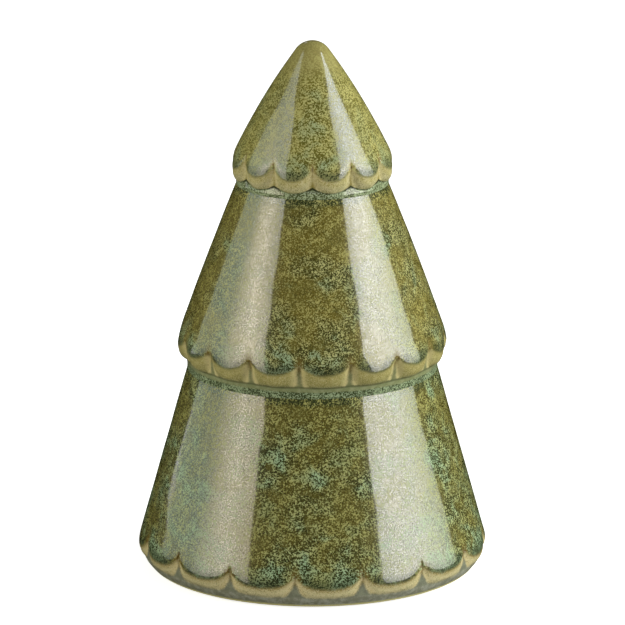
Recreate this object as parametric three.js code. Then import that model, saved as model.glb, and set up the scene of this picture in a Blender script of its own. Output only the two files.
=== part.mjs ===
// A free-standing Christmas tree figurine in glazed stoneware. Three hollow tiers with scalloped
// rims are stacked on locating collars, a round slab with a vent hole closes the foot, and the
// tree stands on four felt pads. Millimetres, +Z up, the front towards -Y, and the origin on the
// table under the tree's axis.

import * as THREE from 'three';
import { mergeVertices } from 'three/addons/utils/BufferGeometryUtils.js';

// Stoneware walls
const wallThickness = 5;
const tipThickness = 9;

// Rounded tip and the slightly swelling wall under it
const tipRadius = 6.2;
const tipArcDegrees = 58;
const topWallBulge = 0.7;

// Tiers. A tier's seat is its flat underside, its rim is where it is widest, and its hem is the
// lower edge of the rolled rim. Heights and lifts of rim and hem are taken above the seat.
const bottomTier = {
  height: 60.3,
  seatRadius: 49.2,
  rimRadius: 52.6,
  rimHeight: 6.4,
  rimRoll: 1.6,
  hemDrop: 4.2,
  hemTuck: 2.3,
  lobes: 16,
  notchDegrees: -5.75,
  notchLift: 3.2,
  hemLift: 0.3,
  grooveDepth: 1.1,
};
const middleTier = {
  height: 56.5,
  seatRadius: 37.5,
  rimRadius: 40.2,
  rimHeight: 7.8,
  rimRoll: 4.5,
  hemDrop: 4.4,
  hemTuck: 2.1,
  lobes: 16,
  notchDegrees: -5.75,
  notchLift: 3.4,
  hemLift: 0.5,
  grooveDepth: 1.1,
};
const topTier = {
  height: 43,
  seatRadius: 22.7,
  rimRadius: 24,
  rimHeight: 5.9,
  rimRoll: 3.5,
  hemDrop: 4.2,
  hemTuck: 0.9,
  lobes: 12,
  notchDegrees: 0,
  notchLift: 2.9,
  hemLift: 1.8,
  grooveDepth: 0.6,
};
const scallopFade = 8;

// Collar on a tier's shoulder, which centres the tier above
const collarHeight = 4;
const collarWall = 3.5;
const collarClearance = 0.4;
const boreSpare = 1;
const shoulderThickness = 4;

// Foot ring, with the rebate and the shelf that the slab is bedded against
const footRingWidth = 4.2;
const footChamfer = 0.6;
const shelfWidth = 3;
const shelfThickness = 3.5;

// Slab that closes the foot
const slabThickness = 4.5;
const slabClearance = 0.3;
const ventDiameter = 10;

// Felt pads under the slab
const padCount = 4;
const padDiameter = 12;
const padThickness = 1.5;
const padStandOff = 0.3;
const padCircleRadius = 32;
const firstPadDegrees = 45;

// Facets
const columnsPerLobe = 8;
const bulgeRows = 4;
const tipRows = 5;
const rollRows = 2;
const hemRows = 3;
const slabColumns = 48;
const padColumns = 24;

const footHeight = padStandOff;
const lowerSeamHeight = footHeight + bottomTier.height;
const upperSeamHeight = lowerSeamHeight + middleTier.height;
const tipHeight = upperSeamHeight + topTier.height;
const slabUnderside = padThickness;
const shelfHeight = slabUnderside + slabThickness;
const rebateRadius = bottomTier.seatRadius - footRingWidth;

// A point of a turned profile. Towards a notch it rises by lift and sinks in by groove.
function point(radius, height, lift = 0, groove = 0) {
  return { radius, height, lift, groove };
}

// How far a column lies from the middle of its lobe: 0 there, and 1 at the notch beside it.
function towardsNotch(column) {
  return Math.abs(((2 * column) / columnsPerLobe) % 2 - 1);
}

// A profile turned about Z. It runs down the outside and back up the inside. Its first column
// stands at startDegrees, measured from the front towards +X.
function turned(profile, columns, startDegrees = 0) {
  const rows = profile.toReversed();
  const outline = rows.map((row) => new THREE.Vector2(row.radius, row.height));
  const start = THREE.MathUtils.degToRad(startDegrees);
  const geometry = new THREE.LatheGeometry(outline, columns, start, 2 * Math.PI);
  const position = geometry.attributes.position;
  for (let i = 0; i < position.count; i += 1) {
    const { radius, lift, groove } = rows[i % rows.length];
    if (lift === 0 && groove === 0) continue;
    const t = towardsNotch(Math.floor(i / rows.length));
    const inwards = (radius - groove * t ** 4) / radius;
    position.setXYZ(
      i,
      position.getX(i) * inwards,
      position.getY(i) + lift * t ** 2,
      position.getZ(i) * inwards,
    );
  }
  geometry.rotateX(Math.PI / 2);
  geometry.deleteAttribute('normal');
  geometry.deleteAttribute('uv');
  const merged = mergeVertices(geometry);
  merged.computeVertexNormals();
  return merged;
}

// The outer wall of a tier between its shoulder and the start of its rolled rim.
function wallOf(tier, seat, shoulderRadius, shoulderHeight, bulge = 0) {
  const rim = seat + tier.rimHeight;
  const rollStart = rim + tier.rimRoll;
  const slope = (tier.rimRadius - shoulderRadius) / (shoulderHeight - rim - tier.rimRoll / 2);
  const radiusAt = (height) => {
    const down = (shoulderHeight - height) / (shoulderHeight - rollStart);
    return shoulderRadius + slope * (shoulderHeight - height) + 4 * bulge * down * (1 - down);
  };
  return { rim, rollStart, slope, radiusAt };
}

// From the start of the roll down over the rim and the hem to the seat's outer edge. At a notch
// each row rises along the wall's slope, and the groove between two lobes deepens to the hem.
function rolledRim(tier, seat, wall) {
  const rowAt = (radius, height, lift, grooveShare) => (
    point(radius, height, lift, wall.slope * lift + tier.grooveDepth * grooveShare)
  );
  const rollStartRadius = wall.radiusAt(wall.rollStart);
  const fadeHeight = wall.rollStart + scallopFade;
  const rows = [point(wall.radiusAt(fadeHeight), fadeHeight)];
  for (let i = 0; i <= rollRows; i += 1) {
    const down = i / rollRows;
    const radius = rollStartRadius + wall.slope * tier.rimRoll * (down - down ** 2 / 2);
    rows.push(rowAt(radius, wall.rollStart - tier.rimRoll * down, tier.notchLift, down / 2));
  }
  for (let i = 1; i <= hemRows; i += 1) {
    const down = i / hemRows;
    const angle = (down * Math.PI) / 2;
    const radius = tier.rimRadius - tier.hemTuck * (1 - Math.cos(angle));
    const height = wall.rim - tier.hemDrop * Math.sin(angle);
    const lift = THREE.MathUtils.lerp(tier.notchLift, tier.hemLift, down);
    rows.push(rowAt(radius, height, lift, (1 + down) / 2));
  }
  return [...rows, point(tier.seatRadius, seat)];
}

// The bore that takes the collar of the tier below, and the inside of the wall over it.
function boreOf(tier, seat, wall) {
  const radius = tier.seatRadius - wallThickness;
  return [
    point(radius, seat),
    point(radius, seat + collarHeight + boreSpare),
    point(wall.radiusAt(wall.rollStart) - wallThickness, wall.rollStart),
  ];
}

// The underside of a shoulder, up through the collar, and back to the shoulder's outer edge,
// which has the radius of the seat that it carries.
function collaredShoulder(wall, shoulderRadius, shoulderHeight) {
  const collarRadius = shoulderRadius - wallThickness - collarClearance;
  const hollowTop = shoulderHeight - shoulderThickness - collarWall;
  return [
    point(wall.radiusAt(hollowTop) - wallThickness, hollowTop),
    point(collarRadius - collarWall, shoulderHeight - shoulderThickness),
    point(collarRadius - collarWall, shoulderHeight + collarHeight),
    point(collarRadius, shoulderHeight + collarHeight),
    point(collarRadius, shoulderHeight),
    point(shoulderRadius, shoulderHeight),
  ];
}

function topTierGeometry() {
  const arc = THREE.MathUtils.degToRad(tipArcDegrees);
  const arcEndRadius = tipRadius * Math.sin(arc);
  const arcEndHeight = tipHeight - tipRadius * (1 - Math.cos(arc));
  const wall = wallOf(topTier, upperSeamHeight, arcEndRadius, arcEndHeight, topWallBulge);

  const profile = [];
  for (let i = 0; i < tipRows; i += 1) {
    const angle = (arc * i) / tipRows;
    profile.push(point(tipRadius * Math.sin(angle), tipHeight - tipRadius * (1 - Math.cos(angle))));
  }
  for (let i = 0; i < bulgeRows; i += 1) {
    const height = THREE.MathUtils.lerp(arcEndHeight, wall.rollStart + scallopFade, i / bulgeRows);
    profile.push(point(wall.radiusAt(height), height));
  }
  profile.push(...rolledRim(topTier, upperSeamHeight, wall), ...boreOf(topTier, upperSeamHeight, wall));
  const hollowTop = tipHeight - tipThickness;
  const hollowTopRadius = wall.radiusAt(hollowTop) - wallThickness;
  profile.push(point(hollowTopRadius, hollowTop), point(0, hollowTop + hollowTopRadius / 2));
  return turned(profile, topTier.lobes * columnsPerLobe, topTier.notchDegrees);
}

function middleTierGeometry() {
  const wall = wallOf(middleTier, lowerSeamHeight, topTier.seatRadius, upperSeamHeight);
  const profile = [
    ...rolledRim(middleTier, lowerSeamHeight, wall),
    ...boreOf(middleTier, lowerSeamHeight, wall),
    ...collaredShoulder(wall, topTier.seatRadius, upperSeamHeight),
  ];
  profile.push(profile[0]);
  return turned(profile, middleTier.lobes * columnsPerLobe, middleTier.notchDegrees);
}

function bottomTierGeometry() {
  const wall = wallOf(bottomTier, footHeight, middleTier.seatRadius, lowerSeamHeight);
  const rim = rolledRim(bottomTier, footHeight + footChamfer, wall);
  const shelfTop = shelfHeight + shelfThickness;
  const profile = [
    ...rim,
    point(bottomTier.seatRadius - footChamfer, footHeight),
    point(rebateRadius + footChamfer, footHeight),
    point(rebateRadius, footHeight + footChamfer),
    point(rebateRadius, shelfHeight),
    point(rebateRadius - shelfWidth, shelfHeight),
    point(rebateRadius - shelfWidth, shelfTop),
    point(wall.radiusAt(shelfTop + shelfWidth) - wallThickness, shelfTop + shelfWidth),
    ...collaredShoulder(wall, middleTier.seatRadius, lowerSeamHeight),
  ];
  profile.push(profile[0]);
  return turned(profile, bottomTier.lobes * columnsPerLobe, bottomTier.notchDegrees);
}

function slabGeometry() {
  const radius = rebateRadius - slabClearance;
  const ventRadius = ventDiameter / 2;
  return turned([
    point(radius, shelfHeight),
    point(radius, slabUnderside),
    point(ventRadius, slabUnderside),
    point(ventRadius, shelfHeight),
    point(radius, shelfHeight),
  ], slabColumns);
}

function padGeometry() {
  const radius = padDiameter / 2;
  return turned([point(0, padThickness), point(radius, padThickness), point(radius, 0), point(0, 0)], padColumns);
}

const glaze = new THREE.MeshStandardMaterial({ color: 0x6f7440, roughness: 0.15, metalness: 0 });
const bareStoneware = new THREE.MeshStandardMaterial({ color: 0xc9b291, roughness: 0.8, metalness: 0 });
const felt = new THREE.MeshStandardMaterial({ color: 0x4a4a3c, roughness: 1, metalness: 0 });

const tree = new THREE.Group();

function addPiece(name, geometry, material) {
  const piece = new THREE.Mesh(geometry, material.clone());
  piece.name = name;
  tree.add(piece);
  return piece;
}

addPiece('top_tier', topTierGeometry(), glaze);
addPiece('middle_tier', middleTierGeometry(), glaze);
addPiece('bottom_tier', bottomTierGeometry(), glaze);
addPiece('base_slab', slabGeometry(), bareStoneware);

for (let i = 0; i < padCount; i += 1) {
  const angle = THREE.MathUtils.degToRad(firstPadDegrees + (360 * i) / padCount);
  const pad = addPiece(`felt_pad_${i + 1}`, padGeometry(), felt);
  pad.position.set(padCircleRadius * Math.cos(angle), padCircleRadius * Math.sin(angle), 0);
}

export default tree;
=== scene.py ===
# A glazed stoneware Christmas tree figurine: three hollow tiers with scalloped rims, a vented slab
# in the foot and four felt pads. Lengths in this script are millimetres, and become metres where
# they reach Blender.

import math

import bmesh
import bpy
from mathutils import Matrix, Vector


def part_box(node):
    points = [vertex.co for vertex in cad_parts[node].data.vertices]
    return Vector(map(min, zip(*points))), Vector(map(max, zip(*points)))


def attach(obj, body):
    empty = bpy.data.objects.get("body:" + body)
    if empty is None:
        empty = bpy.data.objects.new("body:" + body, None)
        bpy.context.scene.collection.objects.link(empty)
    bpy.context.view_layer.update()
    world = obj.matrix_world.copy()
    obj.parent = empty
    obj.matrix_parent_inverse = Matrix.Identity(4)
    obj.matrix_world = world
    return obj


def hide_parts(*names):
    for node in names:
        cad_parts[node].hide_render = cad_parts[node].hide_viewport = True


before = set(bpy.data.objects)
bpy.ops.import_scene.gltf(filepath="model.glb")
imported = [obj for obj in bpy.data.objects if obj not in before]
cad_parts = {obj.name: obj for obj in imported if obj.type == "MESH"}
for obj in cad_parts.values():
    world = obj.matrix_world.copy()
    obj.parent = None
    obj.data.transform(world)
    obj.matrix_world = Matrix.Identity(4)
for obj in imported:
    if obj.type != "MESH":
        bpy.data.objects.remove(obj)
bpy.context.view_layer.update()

MM = 0.001


def lowest(node):
    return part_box(node)[0].z / MM


def highest(node):
    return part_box(node)[1].z / MM


foot_height = lowest("bottom_tier")
lower_seam = lowest("middle_tier")
upper_seam = lowest("top_tier")
tip_height = highest("top_tier")
slab_underside = lowest("base_slab")
slab_top = highest("base_slab")
slab_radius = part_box("base_slab")[1].x / MM
pad_thickness = highest("felt_pad_1")


# Shapes

class Tier:
    """The sizes of one tier. Heights of the rim are taken above the tier's seat."""

    def __init__(self, **sizes):
        self.__dict__.update(sizes)
        self.edge = self.seat + self.edge_height
        self.notch_top = self.edge + self.notch_lift
        self.hem = self.seat + self.hem_height
        self.half_lobe = math.pi * self.edge_radius / self.lobes
        self.slope = ((self.edge_radius - self.shoulder_radius)
                      / (self.shoulder - self.edge - self.roll_height * self.roll_share / 2))


bottom = Tier(
    seat=foot_height, shoulder=lower_seam, shoulder_radius=37.5, edge_radius=52.5, bulge=0,
    edge_height=6.4, notch_lift=2.9, lift_power=2.4, lobes=16, notch_degrees=-5.75,
    roll_height=1.6, roll_share=0.6,
    hem_height=3.3, hem_lift=0.3, hem_corner=8, side_share=0.985,
    hem_width=2.4, hem_depth=1.5, side_width=2.1, side_depth=1.5, fade_in=2.6, droop=0,
    floor=((0, 48.4), (0.1, 48.8), (0.35, 49.15), (0.7, 49.4), (2, 50.5), (3, 51), (5, 51.25),
           (9.3, 51.2), (10.2, 50.9), (14, 49)),
)
middle = Tier(
    seat=lower_seam, shoulder=upper_seam, shoulder_radius=22.7, edge_radius=40.45, bulge=0.35,
    edge_height=7.7, notch_lift=2.6, lift_power=1.8, lobes=16, notch_degrees=-5.75,
    roll_height=4.5, roll_share=0.6,
    hem_height=3.54, hem_lift=0.2, hem_corner=34, side_share=0.925,
    hem_width=0.9, hem_depth=0.5, side_width=1.9, side_depth=1.5, fade_in=2.2, droop=0.085,
    floor=((0, 37.5), (1.6, 37.5), (2.2, 37.6), (3.3, 37.85), (5, 38.05), (7.7, 38.35), (9.3, 38.6),
           (10.5, 38.6), (15, 36)),
)
top = Tier(
    seat=upper_seam, shoulder=tip_height - 2.9, shoulder_radius=5.25, edge_radius=24.3, bulge=1.15,
    edge_height=5.85, notch_lift=3.0, lift_power=2.0, lobes=12, notch_degrees=0,
    roll_height=3.5, roll_share=0.6,
    hem_height=1.7, hem_lift=1.8, hem_corner=20, side_share=0.985,
    hem_width=1.6, hem_depth=0.7, side_width=2.7, side_depth=1.1, fade_in=3.2, droop=0.04,
    floor=((0, 22.7), (1, 22.7), (1.7, 22.6), (3, 22.5), (6, 22.48), (8.4, 22.45), (9.5, 21.8),
           (14, 19)),
)

# Where the ribs of half a lobe stand, from the lobe's middle at 0 to the notch at 1
rib_places = (0, 0.12, 0.24, 0.36, 0.47, 0.57, 0.66, 0.74, 0.81, 0.86, 0.9, 0.93, 0.955, 0.98, 1)

wall_thickness = 5
tip_radius = 6.2
tip_arc = math.radians(58)
tip_wall = 9
shoulder_thickness = 4
collar_height = 4
collar_wall = 3.5
collar_clearance = 0.4
shelf_width = 3
shelf_thickness = 3.5
foot_chamfer = 0.6
slab_clearance = 0.3
vent_radius = 5
turning_rings = 21
ring_depth = 0.16
pad_count = 4

# What the glaze's measures say away from the rims: on the tip, and then in the hollow
above_on_tip = 40
inside_on_tip = 9
above_in_hollow = -50
inside_in_hollow = -9

# Below the hem, the rounding follows the lobe's side only this near to the notch
near_notch = 8

# The hand's waves end this far under a lobe's edge, so the hem and the seat stay true
waves_end = -2


def lerp(a, b, share):
    return a + (b - a) * share


def along(points, x):
    """The value at x on a line through points."""
    for (x0, y0), (x1, y1) in zip(points, points[1:]):
        if x <= x1:
            return lerp(y0, y1, (x - x0) / (x1 - x0))
    return points[-1][1]


def smooth_max(a, b, blend):
    return max(a, b) + max(blend - abs(a - b), 0) ** 2 / (4 * blend)


def edge_height(tier, t):
    """Height of the line where a lobe's face turns into its rim."""
    return tier.edge + tier.notch_lift * t ** tier.lift_power


def hem_height(tier, t):
    """Height of the lobe's lower outline, which runs up beside the notch."""
    hem = tier.hem + tier.hem_lift * t * t
    return hem + (tier.notch_top - hem) * min(1, (t / tier.side_share) ** tier.hem_corner)


def wall_radius(tier, height, t):
    """Radius of the tier's wall, which straightens up a little just above the rim."""
    edge = edge_height(tier, t)
    down = (tier.shoulder - height) / (tier.shoulder - tier.edge)
    radius = tier.shoulder_radius + tier.slope * (tier.shoulder - height)
    radius += 4 * tier.bulge * down * (1 - down) if down < 1 else 0
    into_roll = max(0, edge + tier.roll_height - height) / tier.roll_height
    return radius - tier.slope * tier.roll_height * tier.roll_share * into_roll ** 2 / 2


def rounding(inside, width, depth):
    """How far a rounded border falls away, at a distance inside its outline."""
    if inside < 0:
        return depth - 3 * inside
    share = max(0, 1 - inside / width)
    return depth * (0.5 * (1 - math.sqrt(1 - share ** 2)) + 0.5 * share ** 1.4)


def lobe_point(tier, t, height):
    """Radius of the outside at a height, and the distances inside the lobe's side and hem."""
    edge = edge_height(tier, t)
    below_edge = max(0, edge - height)
    radius = wall_radius(tier, max(height, edge), t) - tier.droop * below_edge ** 2
    hem = tier.hem + tier.hem_lift * t * t
    from_hem = height - hem_height(tier, t)
    from_side = (1 - t) * tier.half_lobe + inside_on_tip
    if height < tier.notch_top:
        up = max(0, (height - hem) / (tier.notch_top - hem))
        from_side = (tier.side_share * up ** (1 / tier.hem_corner) - t) * tier.half_lobe
    span = math.hypot(from_hem, from_side)
    inside = min(from_hem, from_side)
    side = 0 if from_side > near_notch else 1
    if inside > 0 or max(from_hem, from_side) < 0:
        inside = math.copysign(from_hem * from_side / span, inside)
        side = (from_hem / span) ** 2
    down = min(1, max(0, tier.notch_top - height) / tier.fade_in)
    deep = lerp(1, down * down * (3 - 2 * down), side)
    radius -= deep * rounding(inside, lerp(tier.hem_width, tier.side_width, side),
                              lerp(tier.hem_depth, tier.side_depth, side))
    if height < tier.seat + tier.floor[-1][0]:
        radius = smooth_max(radius, along(tier.floor, height - tier.seat), 0.3)
    return radius, inside


def outer_heights(tier, t, top_height):
    """Heights of the rows of one rib, from top_height down to the seat."""
    edge = edge_height(tier, t)
    fade = tier.notch_top + 8
    wall_rows = round((top_height - fade) / 2)
    heights = [lerp(top_height, fade, i / wall_rows) for i in range(wall_rows)]
    heights += [lerp(fade, edge + 1, 1 - (1 - i / 12) ** 1.5) for i in range(12)]
    heights += [edge + step for step in (1, 0.65, 0.4, 0.2, 0, -0.2, -0.4, -0.65)]
    low = tier.seat + 0.6
    rim_rows = round((tier.edge - low) / 0.24)
    heights += [lerp(edge - 0.65, low, i / rim_rows) for i in range(1, rim_rows)]
    return heights + [tier.seat + step for step in (0.6, 0.42, 0.25, 0.12, 0.05, 0)]


def outer_rows(tier, t, top_height):
    """The rows of one rib as radius, height, height above the edge and distance inside the lobe."""
    rows = []
    for height in outer_heights(tier, t, top_height):
        radius, inside = lobe_point(tier, t, height)
        rows.append((radius, height, height - edge_height(tier, t), inside))
    return rows


def tip_rows(rows=10):
    """The rounded tip, from the axis down to where the wall starts."""
    return [(tip_radius * math.sin(tip_arc * i / rows),
             tip_height - tip_radius * (1 - math.cos(tip_arc * i / rows)),
             above_on_tip, inside_on_tip)
            for i in range(rows)]


def inner_rows(points):
    return [(radius, height, above_in_hollow, inside_in_hollow) for radius, height in points]


def loft_half_lobe(name, tier, sections):
    """A mesh lofted through sections, one rib at each of rib_places, from extruded points."""
    bpy.ops.object.select_all(action="DESELECT")
    first = None
    for t, rows in zip(rib_places, sections):
        angle = t * math.pi / tier.lobes
        points = [(radius * math.sin(angle) * MM, -radius * math.cos(angle) * MM, height * MM)
                  for radius, height, _, _ in rows]
        if first is None:
            bpy.ops.mesh.primitive_plane_add(size=1 * MM, location=points[0])
            first = bpy.context.object
            bpy.ops.object.transform_apply(location=True)
            bpy.ops.object.mode_set(mode="EDIT")
        else:
            bpy.ops.mesh.select_all(action="DESELECT")
            bpy.ops.mesh.primitive_plane_add(size=1 * MM, location=points[0])
        bpy.ops.mesh.merge(type="CENTER")
        for start, end in zip(points, points[1:]):
            step = [b - a for a, b in zip(start, end)]
            bpy.ops.mesh.extrude_vertices_move(TRANSFORM_OT_translate={"value": step})
    edges_in_rib = len(sections[0]) - 1
    for rib in range(len(sections) - 1):
        bpy.ops.mesh.select_all(action="DESELECT")
        mesh = bmesh.from_edit_mesh(first.data)
        mesh.edges.ensure_lookup_table()
        for edge in mesh.edges[rib * edges_in_rib:(rib + 2) * edges_in_rib]:
            edge.select_set(True)
        bmesh.update_edit_mesh(first.data)
        bpy.ops.mesh.bridge_edge_loops()
    bpy.ops.object.mode_set(mode="OBJECT")
    first.name = name
    return first


def keep_measures(piece, sections):
    """Keeps what the glaze follows on the mesh: the height above the lobe's edge and the distance
    inside its outline, in millimetres, and the share of the way to the notch. The vertex group
    holds the points that the hand's waves may move."""
    above = piece.data.attributes.new("above_edge", "FLOAT", "POINT")
    above.data.foreach_set("value", [row[2] for rows in sections for row in rows])
    inside = piece.data.attributes.new("inside_lobe", "FLOAT", "POINT")
    inside.data.foreach_set("value", [row[3] for rows in sections for row in rows])
    notch = piece.data.attributes.new("to_notch", "FLOAT", "POINT")
    notch.data.foreach_set("value", [t for t, rows in zip(rib_places, sections) for _ in rows])
    outside = piece.vertex_groups.new(name="outside")
    heights = [row[2] for rows in sections for row in rows]
    outside.add([i for i, height in enumerate(heights) if height > waves_end], 1, "REPLACE")


def finish_piece(piece, name):
    bpy.ops.object.shade_smooth_by_angle(angle=math.radians(50))
    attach(piece, "root")
    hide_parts(name)
    return piece


def uneven(piece, name, size, depth, group=""):
    """Dents that run inward from the surface, about size across."""
    texture = bpy.data.textures.new(name, "CLOUDS")
    texture.noise_scale = size * MM
    texture.noise_depth = 1
    dents = piece.modifiers.new(name, "DISPLACE")
    dents.texture = texture
    dents.strength = depth * MM
    dents.mid_level = 1
    dents.vertex_group = group
    bpy.ops.object.modifier_apply(modifier=dents.name)


def tier_piece(name, tier, sections):
    """A whole tier: half a lobe mirrored, spun round and closed."""
    piece = loft_half_lobe("glazed_" + name, tier, sections)
    keep_measures(piece, sections)
    mirror = piece.modifiers.new("other_half", "MIRROR")
    mirror.use_axis = (True, False, False)
    mirror.merge_threshold = 0.001 * MM
    bpy.ops.object.modifier_apply(modifier=mirror.name)
    bpy.ops.object.mode_set(mode="EDIT")
    bpy.ops.mesh.select_all(action="SELECT")
    turn = 2 * math.pi / tier.lobes
    bpy.ops.mesh.spin(steps=tier.lobes - 1, dupli=True, angle=turn * (tier.lobes - 1),
                      center=(0, 0, 0), axis=(0, 0, 1))
    bpy.ops.mesh.select_all(action="SELECT")
    bpy.ops.mesh.remove_doubles(threshold=0.001 * MM)
    bpy.ops.mesh.select_all(action="DESELECT")
    bpy.ops.mesh.select_non_manifold()
    if piece.data.total_edge_sel:
        bpy.ops.mesh.bridge_edge_loops()
    bpy.ops.mesh.select_all(action="SELECT")
    bpy.ops.mesh.normals_make_consistent(inside=False)
    bpy.ops.object.mode_set(mode="OBJECT")
    piece.rotation_euler.z = math.radians(tier.notch_degrees) + turn / 2
    bpy.ops.object.transform_apply(rotation=True)
    uneven(piece, "hand_waves", 11, 0.16, "outside")
    return finish_piece(piece, name)


def bore_of(tier):
    """The bore over the collar of the tier below, and the foot of the wall's inside."""
    radius = tier.floor[0][1] - wall_thickness
    inside = wall_radius(tier, tier.edge + tier.roll_height, 0) - wall_thickness
    return [(radius, tier.seat), (radius, tier.seat + 5), (inside, tier.edge + tier.roll_height)]


def collared_shoulder(tier):
    """The shoulder's underside and the collar, down to the shoulder's flat top."""
    collar_radius = tier.shoulder_radius - wall_thickness - collar_clearance
    hollow_top = tier.shoulder - shoulder_thickness - 3.5
    return [
        (wall_radius(tier, hollow_top, 0) - wall_thickness, hollow_top),
        (collar_radius - collar_wall, tier.shoulder - shoulder_thickness),
        (collar_radius - collar_wall, tier.shoulder + collar_height),
        (collar_radius, tier.shoulder + collar_height),
        (collar_radius, tier.shoulder),
    ]


def make_top_tier():
    inside = bore_of(top)
    hollow_top = tip_height - tip_wall
    hollow_radius = wall_radius(top, hollow_top, 0) - wall_thickness
    inside += [(hollow_radius, hollow_top), (0, hollow_top + hollow_radius / 2)]
    sections = [tip_rows() + outer_rows(top, t, top.shoulder) + inner_rows(inside)
                for t in rib_places]
    return tier_piece("top_tier", top, sections)


def make_middle_tier():
    inside = inner_rows(bore_of(middle) + collared_shoulder(middle))
    sections = [outer_rows(middle, t, middle.shoulder) + inside for t in rib_places]
    return tier_piece("middle_tier", middle, sections)


def make_bottom_tier():
    rebate = slab_radius + slab_clearance
    shelf_end = rebate - shelf_width
    hollow_foot = slab_top + shelf_thickness + 3
    inside = [
        (rebate + foot_chamfer, bottom.seat),
        (rebate, bottom.seat + foot_chamfer),
        (rebate, slab_top),
        (shelf_end, slab_top),
        (shelf_end, slab_top + shelf_thickness),
        (wall_radius(bottom, hollow_foot, 0) - wall_thickness, hollow_foot),
    ]
    inside = inner_rows(inside + collared_shoulder(bottom))
    sections = [outer_rows(bottom, t, bottom.shoulder) + inside for t in rib_places]
    return tier_piece("bottom_tier", bottom, sections)


def turned(name, profile, steps):
    """A closed solid: a profile of radius and height, turned round the Z axis."""
    bpy.ops.object.select_all(action="DESELECT")
    bpy.ops.mesh.primitive_plane_add(size=1 * MM, location=(profile[0][0] * MM, 0, profile[0][1] * MM))
    piece = bpy.context.object
    bpy.ops.object.transform_apply(location=True)
    bpy.ops.object.mode_set(mode="EDIT")
    bpy.ops.mesh.merge(type="CENTER")
    for (r0, z0), (r1, z1) in zip(profile, profile[1:]):
        step = ((r1 - r0) * MM, 0, (z1 - z0) * MM)
        bpy.ops.mesh.extrude_vertices_move(TRANSFORM_OT_translate={"value": step})
    bpy.ops.mesh.select_all(action="SELECT")
    bpy.ops.mesh.spin(steps=steps, angle=2 * math.pi, center=(0, 0, 0), axis=(0, 0, 1))
    bpy.ops.mesh.select_all(action="SELECT")
    bpy.ops.mesh.remove_doubles(threshold=0.002 * MM)
    bpy.ops.mesh.normals_make_consistent(inside=False)
    bpy.ops.object.mode_set(mode="OBJECT")
    piece.name = name
    return piece


def make_base_slab():
    """The slab, with turning rings on its underside and a rounded vent."""
    low = slab_underside
    vent_middle = [(vent_radius, 5.2)]
    profile = vent_middle + [(vent_radius, 3), (vent_radius + 0.2, 2.3),
                             (vent_radius + 0.7, low + 0.25), (vent_radius + 1.4, low + 0.05)]
    for i in range(turning_rings):
        radius = lerp(7.6, 42.9, i / (turning_rings - 1))
        profile += [(radius - 0.6, low), (radius - 0.25, low + ring_depth),
                    (radius + 0.25, low + ring_depth), (radius + 0.6, low)]
    profile += [(44, low + 0.06), (44.5, low + 0.3), (slab_radius, low + 0.8),
                (slab_radius, slab_top - 0.7), (44.4, slab_top - 0.15), (43.8, slab_top),
                (30, slab_top), (15, slab_top), (vent_radius + 1.2, slab_top),
                (vent_radius + 0.3, slab_top - 0.2)] + vent_middle
    return finish_piece(turned("fired_base_slab", profile, 128), "base_slab")


def make_felt_pad(name):
    """A die-cut pad whose faces and edge are slightly uneven."""
    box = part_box(name)
    rows = 12
    radius = (box[1].x - box[0].x) / 2 / MM
    profile = [(0, 0)] + [(lerp(0, radius - 0.5, (i + 1) / rows), 0) for i in range(rows)]
    profile += [(radius - 0.15, 0.12), (radius, 0.4), (radius, 0.75), (radius, 1.1)]
    profile += [(radius - 0.15, pad_thickness - 0.12)]
    profile += [(lerp(radius - 0.5, 0, i / rows), pad_thickness) for i in range(rows + 1)]
    piece = turned("cut_" + name, profile, 60)
    piece.location = ((box[0].x + box[1].x) / 2, (box[0].y + box[1].y) / 2, 0)
    bpy.ops.object.transform_apply(location=True)
    uneven(piece, "felt_lumps", 0.9, 0.16)
    return finish_piece(piece, name)


# Materials

class Signal:
    """A socket that takes part in arithmetic: each operator adds a Math node."""

    def __init__(self, paint, socket):
        self.paint = paint
        self.socket = socket

    def math(self, operation, *others):
        return self.paint.node("ShaderNodeMath", {"operation": operation}, [self, *others])

    def __add__(self, other):
        return self.math("ADD", other)

    def __sub__(self, other):
        return self.math("SUBTRACT", other)

    def __mul__(self, other):
        return self.math("MULTIPLY", other)

    def __rsub__(self, other):
        return self.paint.node("ShaderNodeMath", {"operation": "SUBTRACT"}, [other, self])

    __radd__ = __add__


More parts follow.
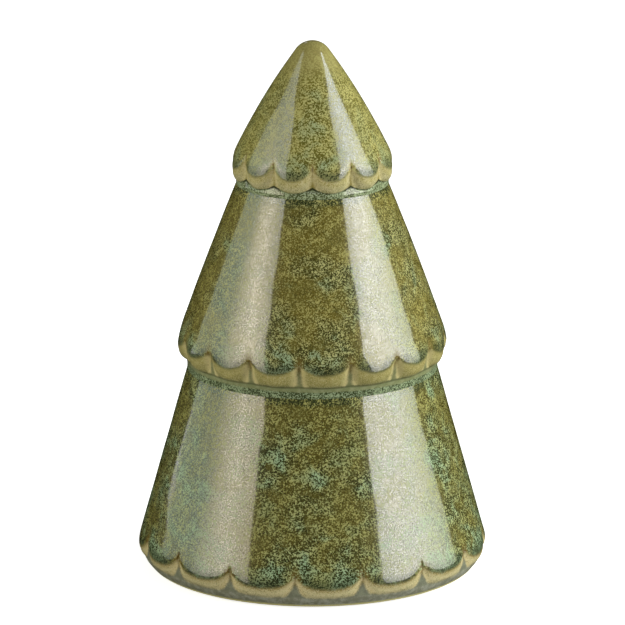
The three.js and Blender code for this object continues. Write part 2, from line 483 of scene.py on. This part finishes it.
class Paint:
    """One material, built around a Principled shader."""

    def __init__(self, name, **constants):
        self.material = bpy.data.materials.new(name)
        self.material.use_nodes = True
        self.nodes = self.material.node_tree.nodes
        self.links = self.material.node_tree.links
        self.shader = self.nodes["Principled BSDF"]
        self.surface = self.shader.outputs[0]
        for socket, value in constants.items():
            self.shader.inputs[socket.replace("_", " ")].default_value = value
        self.place = self.node("ShaderNodeTexCoord", {}, {}, "Object")

    def node(self, kind, settings, sockets, output=0):
        """A node of this kind: its settings first, then its sockets, by order or by name."""
        node = self.nodes.new(kind)
        for name, value in settings.items():
            setattr(node, name, value)
        for key, value in sockets.items() if isinstance(sockets, dict) else enumerate(sockets):
            self.feed(node.inputs[key], value)
        return Signal(self, node.outputs[output])

    def feed(self, socket, value):
        if isinstance(value, Signal):
            self.links.new(value.socket, socket)
        else:
            socket.default_value = value

    def finish(self, **sockets):
        for name, value in sockets.items():
            self.feed(self.shader.inputs[name.replace("_", " ")], value)
        return self.material

    def show_instead(self, share, **sockets):
        """Another Principled shader, which shows in place of those before it where share is 1."""
        shader = self.nodes.new("ShaderNodeBsdfPrincipled")
        for name, value in sockets.items():
            self.feed(shader.inputs[name.replace("_", " ")], value)
        both = self.nodes.new("ShaderNodeMixShader")
        self.feed(both.inputs[0], share)
        self.links.new(self.surface, both.inputs[1])
        self.links.new(shader.outputs[0], both.inputs[2])
        self.surface = both.outputs[0]
        self.links.new(self.surface, self.nodes["Material Output"].inputs[0])

    def height(self):
        """Height above the table in millimetres."""
        return self.node("ShaderNodeSeparateXYZ", {}, [self.place], 2) * (1 / MM)

    def measure(self, name):
        return self.node("ShaderNodeAttribute", {"attribute_name": name}, {}, "Fac")

    def noise(self, size, detail=2, roughness=0.5, distortion=0, stretch=(1, 1, 1), shift=0):
        """Noise from 0 to 1 whose grains are about size millimetres across."""
        place = self.node("ShaderNodeMapping", {}, {
            "Vector": self.place,
            "Location": (shift, shift, shift),
            "Scale": tuple(s / (size * MM) for s in stretch),
        })
        return self.node("ShaderNodeTexNoise", {}, {
            "Vector": place, "Scale": 1, "Detail": detail, "Roughness": roughness,
            "Distortion": distortion,
        })

    def ramp(self, value, low, high):
        """0 where value is at low, 1 where it is at high, and a smooth step between."""
        return self.node("ShaderNodeMapRange", {"interpolation_type": "SMOOTHSTEP"}, {
            "Value": value, "From Min": low, "From Max": high,
        })

    def mix(self, share, a, b):
        """Colour a where share is 0 and colour b where it is 1."""
        return self.node("ShaderNodeMix", {"data_type": "RGBA"}, {0: share, 6: a, 7: b}, 2)

    def bump(self, height, distance, under=None):
        sockets = {"Height": height, "Distance": distance * MM}
        if under is not None:
            sockets["Normal"] = under
        return self.node("ShaderNodeBump", {}, sockets)


def shade(code):
    """A colour written as it looks on screen, as Blender's linear values."""
    channels = [int(code[i:i + 2], 16) / 255 for i in (0, 2, 4)]
    return [c / 12.92 if c <= 0.04045 else ((c + 0.055) / 1.055) ** 2.4 for c in channels] + [1]


def glaze(name, tier, look):
    """The reactive glaze of one tier: speckled on the wall, pooled dark and sage over each lobe's
    edge, and broken to tan on the rim, with painted highlights on the rim's pale parts, painted
    shade under the rim above, and pooled glaze with painted shadow along the hems."""
    paint = Paint(name, Coat_Roughness=0.07, Coat_IOR=2.1, IOR=1.3)
    above = paint.measure("above_edge")
    inside = paint.measure("inside_lobe")
    notch = paint.measure("to_notch")
    height = paint.height()
    wobble = paint.noise(1.8, detail=2) - 0.5
    fine = paint.noise(0.33, detail=1) - 0.5

    # Where the glaze pooled and where it ran thin, and the band of painted shade just under the rim of
    # the tier above
    mid_lobe = paint.ramp(notch, 0.95, 0.5)
    pool = paint.ramp(above + wobble * 2, 3.8, 1) * mid_lobe
    clump = paint.ramp(above + wobble * 4, 8, 4) * mid_lobe
    under_rim_shade = paint.ramp(height + wobble * 3, tier.shoulder - 2.8, tier.shoulder - 1)
    thin = paint.ramp(above + wobble * 3, 4.5, 0.5) * paint.ramp(notch, 0.72, 0.95)
    tip = paint.ramp(height, 148, 156)
    high = paint.ramp(height, tier.shoulder - 20, tier.shoulder - 5)
    sage = paint.noise(7, detail=3, distortion=0.6, shift=look["sage_place"])
    sage = sage + clump * 0.15 - high * 0.05
    sage = paint.ramp(sage + look["sage"], 0.45, 0.68) * (1 - tip)
    golden = paint.noise(13, detail=2, shift=look["golden_place"]) + high * 0.14
    golden = paint.ramp(golden + look["golden"], 0.42, 0.62)
    smooth = paint.ramp(paint.noise(5, detail=2, shift=7) - sage * 0.3 + look["smooth"], 0.5, 0.64)

    # Light crystals on a dark ground
    grain = paint.noise(look["grain"], detail=1.2, roughness=0.6, distortion=0.7)
    glint = paint.noise(0.3, detail=1) - 0.5
    density = look["density"] + sage * 0.03 - thin * 0.05 - smooth * 0.03 + paint.noise(2.6) * 0.28
    crystals = paint.ramp(grain + density, 0.605, 0.695) * (1 - tip * 0.35) * (1 - smooth * 0.3)
    crystals = crystals * (1 - pool * 0.55)
    dark = paint.mix(golden, shade(look["dark"]), shade(look["golden_dark"]))
    dark = paint.mix(sage * 0.6, dark, shade(look["sage_dark"]))
    dark = paint.mix(smooth * 0.7, dark, shade(look["patch"]))
    specks = paint.ramp(paint.noise(0.42, detail=1, shift=3), 0.52, 0.62)
    dark = paint.mix(specks * 0.4, dark, shade(look["specks"]))
    dark = paint.mix(pool, dark, shade("2b3318"))
    # Painted shade: the ground darkens just under the rim of the tier above.
    dark = paint.mix(under_rim_shade, dark, shade("39401f"))
    dark = paint.mix(thin, dark, shade(look["thin"]))
    dark = paint.mix(tip, dark, shade("988e52"))
    light = paint.mix(sage, shade(look["light"]), shade(look["sage_light"]))
    light = paint.mix(golden * 0.6, light, shade(look["golden_light"]))
    colour = paint.mix(crystals, dark, light)

    # The rim, where the glaze broke over the clay. The pale lobe ends are partly painted highlight, and
    # the pale lower half of the bottom tier's ridge is painted highlight.
    over_hem = height - notch * notch * tier.hem_lift - (tier.seat + tier.hem_height)
    rim = paint.ramp(above + wobble * 0.9 + fine * 0.8, 0.6, -0.8)
    # Tan changes below the turn; on the bottom tier's ridge the pale lower half is a painted highlight.
    tan = paint.mix(paint.ramp(above + wobble, look["turn"] + 0.9, look["turn"] - 0.9),
                    shade(look["tan_high"]), shade(look["tan_low_and_highlight"]))
    # Pale lobe ends beside each notch: glaze breaking thin over the rounded ends, and a painted
    # highlight.
    flank_break_and_highlight = paint.ramp(inside + wobble * 0.9, 2.2, 0.3) * paint.ramp(notch, 0.55, 0.8)
    tan = paint.mix(paint.ramp(over_hem + wobble * 0.6, 1.4, 0.1) * 0.7, tan, shade(look["tan_hem"]))
    tan = paint.mix(flank_break_and_highlight, tan, shade(look["flank_break_and_highlight"]))
    tan = paint.mix(paint.ramp(fine + wobble * 0.3, 0, 0.12) * 0.85, tan, shade(look["tan_spots"]))
    tan = paint.mix(paint.ramp(fine + wobble * 0.4, -0.05, -0.2) * 0.5, tan, shade(look["edge"]))
    shaded = paint.ramp(above + wobble * 0.8, -1, 0.2) * mid_lobe
    tan = paint.mix(shaded * 0.45, tan, shade(look["edge"]))
    colour = paint.mix(rim, colour, tan)

    # The groove between two lobes, and the band under their hems
    under = paint.ramp(over_hem + wobble * 0.6, 0.4, -0.4)
    outside = paint.ramp(inside + wobble * 0.8 + fine * 0.8, 0.4, -0.7)
    groove = paint.mix(paint.ramp(wobble + fine * 0.5, -0.15, 0.2), shade(look["groove"]),
                       shade(look["groove_light"]))
    groove = paint.mix(paint.ramp(above + wobble * 2, -3.4, -0.8), groove, shade(look["thin"]))
    colour = paint.mix(outside * rim, colour, groove)
    band = paint.mix(paint.ramp(wobble + fine * 0.5, -0.15, 0.2), shade(look["band"]),
                     shade(look["band_light"]))
    colour = paint.mix(under * outside * rim, colour, band)
    # A dark line along the lobe's lower outline: pooled glaze and a painted shadow under the hem.
    hem = over_hem + wobble * 0.3
    hem = paint.ramp(hem, 0.25, 0) * paint.ramp(hem, -0.7, -0.3)
    colour = paint.mix(hem * rim * look["hem_pool_and_shadow"], colour, shade("2f3318"))
    foot = paint.ramp(height + wobble * 0.6, tier.seat + look["foot_top"] + 0.3,
                      tier.seat + look["foot_top"] - 0.3) * under * rim
    foot_colour = paint.mix(paint.ramp(grain + sage * 0.05, 0.5, 0.58) * look["foot_speckle"],
                            shade(look["foot_dark"]), shade(look["foot_light"]))
    colour = paint.mix(foot, colour, foot_colour)
    bare = paint.ramp(above, -20, -24)
    colour = paint.mix(bare, colour, shade("b9a482"))

    # Relief and shine. The crystals shine in a tint that keeps their colour out of the highlights.
    rise = crystals * 0.5 + paint.noise(0.3, detail=1) * 0.4
    normal = paint.bump(rise, 0.006)
    normal = paint.bump(paint.noise(9, detail=1), 0.06, normal)
    gloss = (1 + glint * 3.8) * (1 - bare)
    fading = paint.ramp(above + wobble * 2, 3, 0)
    gloss = gloss * (1 - fading * 0.55) * (1 - outside * rim * 0.7) * (1 - thin * 0.4)
    gloss = gloss + under * outside * rim * look["band_gloss"]
    crystals = crystals * (1 - rim)
    for share, shine in ((crystals, look["crystal_shine"]), (crystals * sage, look["sage_shine"])):
        paint.show_instead(
            share, Base_Color=colour, Roughness=0.12, IOR=2.0, Specular_Tint=shine, Normal=normal,
        )
    return paint.finish(
        Base_Color=colour, Roughness=0.42 + bare * 0.45 + rim * 0.1, Coat_Weight=gloss,
        Normal=normal,
    )


glaze_looks = {
    "top_tier": {
        "crystal_shine": (0.2, 0.24, 0.48, 1), "sage_shine": (0.36, 0.3, 0.43, 1),
        "grain": 0.46, "density": 0, "smooth": -0.08,
        "sage": -0.02, "sage_place": 75, "golden": 0.08, "golden_place": 111.3,
        "patch": "857c36", "specks": "5a5622", "sage_dark": "565a26",
        "dark": "625e22", "golden_dark": "6f6822",
        "light": "b5b376", "sage_light": "9caa82", "golden_light": "b9b06a", "thin": "8c793d",
        "turn": -2.2, "tan_high": "ada266", "tan_low_and_highlight": "aca476", "tan_hem": "8d8a58", "flank_break_and_highlight": "c2b680",
        "tan_spots": "c5bb90", "edge": "5f5c2a", "groove": "8a7d3f", "groove_light": "968b50",
        "band": "5e6a43", "band_light": "8c9872", "hem_pool_and_shadow": 1, "band_gloss": 0.5,
        "foot_top": 2.4, "foot_speckle": 1, "foot_dark": "4a532d", "foot_light": "a3b089",
    },
    "middle_tier": {
        "crystal_shine": (0.28, 0.32, 0.52, 1), "sage_shine": (0.43, 0.34, 0.43, 1),
        "grain": 0.45, "density": -0.03, "smooth": 0,
        "sage": -0.05, "sage_place": 79, "golden": 0, "golden_place": 57.3,
        "patch": "686026", "specks": "37391a", "sage_dark": "434a1e",
        "dark": "47461a", "golden_dark": "685d1f",
        "light": "b2b075", "sage_light": "9bad89", "golden_light": "a0964f", "thin": "6c5c28",
        "turn": -2.4, "tan_high": "9d9357", "tan_low_and_highlight": "978f55", "tan_hem": "7d7a50", "flank_break_and_highlight": "c8bb84",
        "tan_spots": "b4aa76", "edge": "6b6838", "groove": "72744d", "groove_light": "83825a",
        "band": "80865b", "band_light": "93986f", "hem_pool_and_shadow": 0.5, "band_gloss": 0.5,
        "foot_top": 2.0, "foot_speckle": 1, "foot_dark": "3b4526", "foot_light": "9aaa83",
    },
    "bottom_tier": {
        "crystal_shine": (0.26, 0.3, 0.48, 1), "sage_shine": (0.35, 0.27, 0.37, 1),
        "grain": 0.48, "density": -0.035, "smooth": 0,
        "sage": 0.01, "sage_place": 79, "golden": -0.01, "golden_place": 41,
        "patch": "605922", "specks": "303517", "sage_dark": "353f1a",
        "dark": "3f3f16", "golden_dark": "58501a",
        "light": "abb079", "sage_light": "9db48f", "golden_light": "9d944c", "thin": "6e5c29",
        # On this ridge the pale low tan is a painted highlight on its lower half.
        "turn": -1.0, "tan_high": "998547", "tan_low_and_highlight": "c6bb8c", "tan_hem": "b0a67e", "flank_break_and_highlight": "cbbb88",
        "tan_spots": "cabf97", "edge": "525636", "groove": "717361", "groove_light": "838670",
        "band": "7a7a67", "band_light": "98998a", "hem_pool_and_shadow": 0, "band_gloss": 0,
        "foot_top": 0.9, "foot_speckle": 0.2, "foot_dark": "c0b97e", "foot_light": "d0c890",
    },
}


def stoneware(name):
    """Bare fired clay with small iron specks and a fine grit."""
    paint = Paint(name, IOR=1.45)
    clouds = paint.noise(9, detail=3)
    specks = paint.ramp(paint.noise(0.7, detail=0, shift=5), 0.7, 0.76)
    colour = paint.mix(paint.ramp(clouds, 0.3, 0.7), shade("b59d7a"), shade("c8b391"))
    colour = paint.mix(specks, colour, shade("6d5339"))
    grit = paint.noise(0.35, detail=2)
    return paint.finish(
        Base_Color=colour, Roughness=0.8 + grit * 0.15, Normal=paint.bump(grit, 0.05),
    )


def felt(name):
    """Dense pressed felt: short fibres in several tones."""
    paint = Paint(name, Roughness=1, IOR=1.35)
    fibres = paint.noise(0.45, detail=3, roughness=0.7, distortion=1.5, stretch=(1, 1, 1.8))
    colour = paint.mix(paint.ramp(fibres, 0.35, 0.65), shade("3d3d33"), shade("626153"))
    colour = paint.mix(paint.ramp(paint.noise(0.25, detail=1), 0.62, 0.7), colour, shade("8a8877"))
    return paint.finish(Base_Color=colour, Normal=paint.bump(fibres, 0.12))


# Studio

def add_camera():
    """The photograph's view: from 15 degrees above, a long lens from 1.65 m."""
    elevation = math.radians(14.98)
    target = 76.9
    distance = 1645
    sensor = 36
    lens = 316.8
    data = bpy.data.cameras.new("camera")
    data.sensor_width = sensor
    data.lens = lens
    data.clip_end = 50
    data.shift_x = 0.0002
    camera = bpy.data.objects.new("camera", data)
    bpy.context.scene.collection.objects.link(camera)
    camera.location = (0, -distance * math.cos(elevation) * MM,
                       (target + distance * math.sin(elevation)) * MM)
    camera.rotation_euler = (math.pi / 2 - elevation, 0, 0)
    bpy.context.scene.camera = camera


def seen_rays(tree):
    """1 for the rays that show the background: from the camera, a reflection or glass."""
    paths = tree.nodes.new("ShaderNodeLightPath")
    total = paths.outputs["Is Camera Ray"]
    for name in ("Is Glossy Ray", "Is Transmission Ray"):
        larger = tree.nodes.new("ShaderNodeMath")
        larger.operation = "MAXIMUM"
        tree.links.new(total, larger.inputs[0])
        tree.links.new(paths.outputs[name], larger.inputs[1])
        total = larger.outputs[0]
    return total


def add_world(fill):
    world = bpy.data.worlds.new("studio")
    world.use_nodes = True
    bpy.context.scene.world = world
    tree = world.node_tree
    strength = tree.nodes.new("ShaderNodeMix")
    tree.links.new(seen_rays(tree), strength.inputs[0])
    strength.inputs[2].default_value = fill
    strength.inputs[3].default_value = 1
    background = tree.nodes["Background"]
    background.inputs["Color"].default_value = (1, 1, 1, 1)
    tree.links.new(strength.outputs[0], background.inputs["Strength"])


def matte(name, grey):
    """A material that scatters light and doesn't shine."""
    material = bpy.data.materials.new(name)
    material.use_nodes = True
    shader = material.node_tree.nodes["Principled BSDF"]
    shader.inputs["Base Color"].default_value = (grey, grey, grey, 1)
    shader.inputs["Specular IOR Level"].default_value = 0
    shader.inputs["Roughness"].default_value = 1
    return material, shader


def panel(name, azimuth, distance, width, bottom_height, top_height, tilt=0):
    """A flat upright panel that faces the tree's axis."""
    turn = math.radians(azimuth)
    x = distance * math.sin(turn)
    y = -distance * math.cos(turn)
    middle_height = (bottom_height + top_height) / 2
    bpy.ops.object.select_all(action="DESELECT")
    bpy.ops.mesh.primitive_plane_add(size=1, location=(x, y, middle_height),
                                     rotation=(math.pi / 2, math.radians(tilt), turn))
    obj = bpy.context.object
    obj.name = name
    obj.scale = (width, top_height - bottom_height, 1)
    obj.visible_camera = False
    obj.visible_shadow = False
    return obj


def add_softbox(name, azimuth, half_angle, height, strength, low_stops, high_stops, foot_share):
    """A tall softbox standing on the floor. Its stops run from the side nearest the camera, some
    for its lower part and some for its upper part."""
    distance = 0.95
    width = 2 * distance * math.tan(math.radians(half_angle))
    obj = panel(name, azimuth, distance, width, 0, height)
    material, shader = matte(name, 0)
    tree = material.node_tree
    place = tree.nodes.new("ShaderNodeTexCoord")
    parts = tree.nodes.new("ShaderNodeSeparateXYZ")
    tree.links.new(place.outputs["Object"], parts.inputs[0])
    across = tree.nodes.new("ShaderNodeMapRange")
    tree.links.new(parts.outputs[0], across.inputs["Value"])
    front = 0.5 if azimuth < 0 else -0.5
    across.inputs["From Min"].default_value = front
    across.inputs["From Max"].default_value = -front
    up = tree.nodes.new("ShaderNodeMapRange")
    tree.links.new(parts.outputs[1], up.inputs["Value"])
    up.inputs["From Min"].default_value = 0.45 / height - 0.5
    up.inputs["From Max"].default_value = 0.75 / height - 0.5
    mix = tree.nodes.new("ShaderNodeMix")
    mix.data_type = "RGBA"
    tree.links.new(up.outputs[0], mix.inputs[0])
    for stops, socket in ((low_stops, mix.inputs[6]), (high_stops, mix.inputs[7])):
        ramp = tree.nodes.new("ShaderNodeValToRGB")
        tree.links.new(across.outputs[0], ramp.inputs[0])
        elements = ramp.color_ramp.elements
        while len(elements) < len(stops):
            elements.new(1)
        for element, (share, colour) in zip(elements, stops):
            element.position = share
            element.color = (*colour, 1)
        tree.links.new(ramp.outputs[0], socket)
    tree.links.new(mix.outputs[2], shader.inputs["Emission Color"])
    foot = tree.nodes.new("ShaderNodeMapRange")
    tree.links.new(parts.outputs[1], foot.inputs["Value"])
    foot.inputs["From Min"].default_value = 0.25 / height - 0.5
    foot.inputs["From Max"].default_value = 0.45 / height - 0.5
    foot.inputs["To Min"].default_value = strength * foot_share
    foot.inputs["To Max"].default_value = strength
    tree.links.new(foot.outputs[0], shader.inputs["Emission Strength"])
    obj.data.materials.append(material)


def add_flag(name, azimuth, distance, width, low, high, tilt=0):
    """A black card that only reflections see."""
    obj = panel(name, azimuth, distance, width, low, high, tilt)
    obj.visible_diffuse = False
    obj.visible_transmission = False
    material, _ = matte(name, 0)
    obj.data.materials.append(material)
    return obj


def add_card(name, centre, width, depth, height):
    """A flag that lies flat."""
    card = add_flag(name, 0, 1, width, 0, depth)
    card.location = (*centre, height)
    card.rotation_euler = (0, 0, 0)


def add_side_fill(name, azimuth, strength):
    """A lamp panel that lights the object but doesn't show in its glaze."""
    obj = panel(name, azimuth, 1.1, 0.9, 0.1, 1.5)
    obj.visible_glossy = False
    material, shader = matte(name, 0)
    shader.inputs["Emission Color"].default_value = (1, 1, 1, 1)
    shader.inputs["Emission Strength"].default_value = strength
    obj.data.materials.append(material)


def add_floor():
    bpy.ops.object.select_all(action="DESELECT")
    bpy.ops.mesh.primitive_plane_add(size=12, location=(0, 0, 0))
    floor = bpy.context.object
    floor.name = "floor"
    material, shader = matte("floor", 0.8)
    tree = material.node_tree
    strength = tree.nodes.new("ShaderNodeMath")
    strength.operation = "MULTIPLY"
    strength.inputs[1].default_value = 0.75
    tree.links.new(seen_rays(tree), strength.inputs[0])
    tree.links.new(strength.outputs[0], shader.inputs["Emission Strength"])
    shader.inputs["Emission Color"].default_value = (1, 1, 1, 1)
    floor.data.materials.append(material)


add_camera()
add_world(fill=0.25)
add_floor()
add_softbox("left_softbox", -82.5, 39.5, 1.2, 4.3, (
    (0, (0.6, 0.54, 0.415)), (0.15, (0.8, 0.73, 0.57)), (0.27, (1, 0.915, 0.725)),
    (0.42, (0.62, 0.585, 0.455)), (0.54, (0.262, 0.305, 0.25)), (0.76, (0.2, 0.245, 0.195)),
    (1, (0.24, 0.285, 0.22)),
), (
    (0, (0.32, 0.35, 0.34)), (0.3, (0.28, 0.315, 0.3)), (0.6, (0.175, 0.2, 0.18)),
    (1, (0.12, 0.14, 0.12)),
), 0.74)
add_softbox("right_softbox", 81, 34.5, 1.2, 5.05, (
    (0, (0.77, 0.775, 0.7)), (0.22, (1, 0.985, 0.885)), (0.45, (0.93, 0.935, 0.84)),
    (0.62, (0.7, 0.74, 0.6)), (0.8, (0.39, 0.44, 0.33)), (1, (0.33, 0.38, 0.27)),
), (
    (0, (0.33, 0.36, 0.375)), (0.1, (0.42, 0.465, 0.49)), (0.29, (0.65, 0.71, 0.77)),
    (0.47, (0.6, 0.665, 0.73)), (0.66, (0.27, 0.31, 0.32)), (0.8, (0.18, 0.205, 0.2)),
    (1, (0.14, 0.16, 0.14)),
), 0.85)
add_flag("front_flag", 0, 2.3, 5, 0, 3.2)
add_flag("back_left_flag", -148.3, 0.3, 0.345, -0.7, 0.9, tilt=30)
add_flag("back_right_flag", 141, 0.3, 0.512, -0.7, 0.9, tilt=-21)
add_flag("back_flag", 180, 0.34, 0.14, -0.7, 0.9)
add_card("floor_card", (0, -0.54), 2.4, 1.72, 0.001)
add_card("ceiling_card", (0, 0), 5, 5, 1.75)
add_side_fill("right_fill", 115, 3)

for name, tier, make in (("top_tier", top, make_top_tier), ("middle_tier", middle, make_middle_tier),
                         ("bottom_tier", bottom, make_bottom_tier)):
    make().data.materials.append(glaze(name + "_glaze", tier, glaze_looks[name]))
make_base_slab().data.materials.append(stoneware("fired_stoneware"))
felt_material = felt("felt")
for i in range(pad_count):
    make_felt_pad(f"felt_pad_{i + 1}").data.materials.append(felt_material)

bpy.context.scene.view_settings.view_transform = "Standard"
